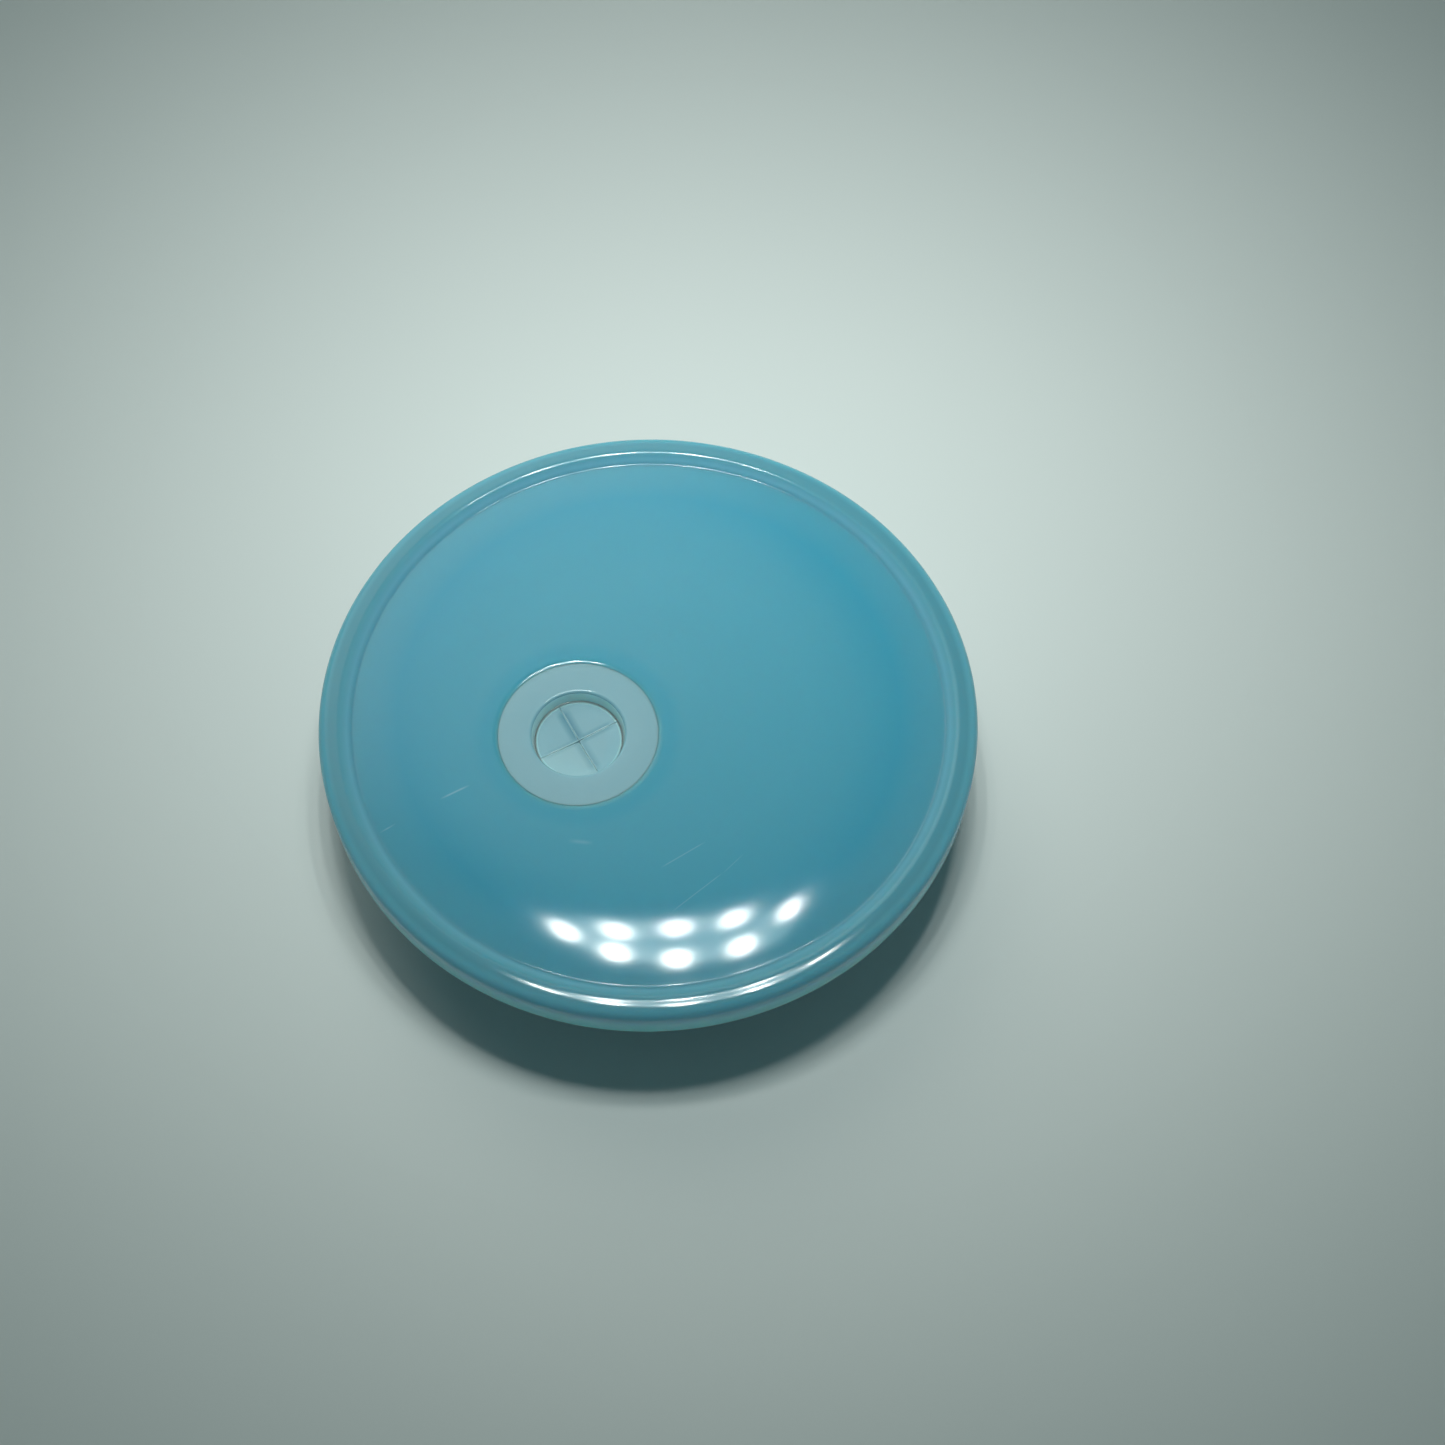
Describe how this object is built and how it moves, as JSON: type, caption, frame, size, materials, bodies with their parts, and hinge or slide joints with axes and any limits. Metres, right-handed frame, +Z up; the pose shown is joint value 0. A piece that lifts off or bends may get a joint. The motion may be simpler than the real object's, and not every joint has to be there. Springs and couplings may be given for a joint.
{
  "type": "drinking glass lid",
  "caption": "Press-in plastic lid for a drinking glass: crowned top, lipped sealing ring on the plug and a soft straw seal with cross-slit flaps.",
  "frame": {"origin": "centre of the plug's foot, on the lid's axis, at the level the lid stands on", "axes": "+Z up along the lid's axis, out of the top face; the straw hole lies on -X"},
  "size_m": [0.072, 0.072, 0.0151],
  "materials": {
    "lid_plastic": "glossy, slightly translucent light blue",
    "ring_silicone": "smooth, translucent, colourless",
    "seal_silicone": "matte, milky, colourless"
  },
  "bodies": {
    "lid": {"lid_shell": "lid_plastic", "sealing_ring": "ring_silicone", "straw_seal_body": "seal_silicone"},
    "flap_1": {"straw_flap_1": "seal_silicone"},
    "flap_2": {"straw_flap_2": "seal_silicone"},
    "flap_3": {"straw_flap_3": "seal_silicone"},
    "flap_4": {"straw_flap_4": "seal_silicone"}
  },
  "joints": [
    {"name": "flap_1_fold", "type": "hinge", "parent": "lid", "child": "flap_1", "pos_m": [-0.00592, -0.0021, 0.01294], "axis": [-0.6455, -0.7638, 0], "range_deg": [-45, 85], "stiffness_Nm_per_rad": 0.0002},
    {"name": "flap_2_fold", "type": "hinge", "parent": "lid", "child": "flap_2", "pos_m": [-0.0063, 0.00248, 0.01294], "axis": [0.7638, -0.6455, 0], "range_deg": [-45, 85], "stiffness_Nm_per_rad": 0.0002},
    {"name": "flap_3_fold", "type": "hinge", "parent": "lid", "child": "flap_3", "pos_m": [-0.01088, 0.0021, 0.01294], "axis": [0.6455, 0.7638, 0], "range_deg": [-45, 85], "stiffness_Nm_per_rad": 0.0002},
    {"name": "flap_4_fold", "type": "hinge", "parent": "lid", "child": "flap_4", "pos_m": [-0.0105, -0.00248, 0.01294], "axis": [-0.7638, 0.6455, 0], "range_deg": [-45, 85], "stiffness_Nm_per_rad": 0.0002}
  ]
}
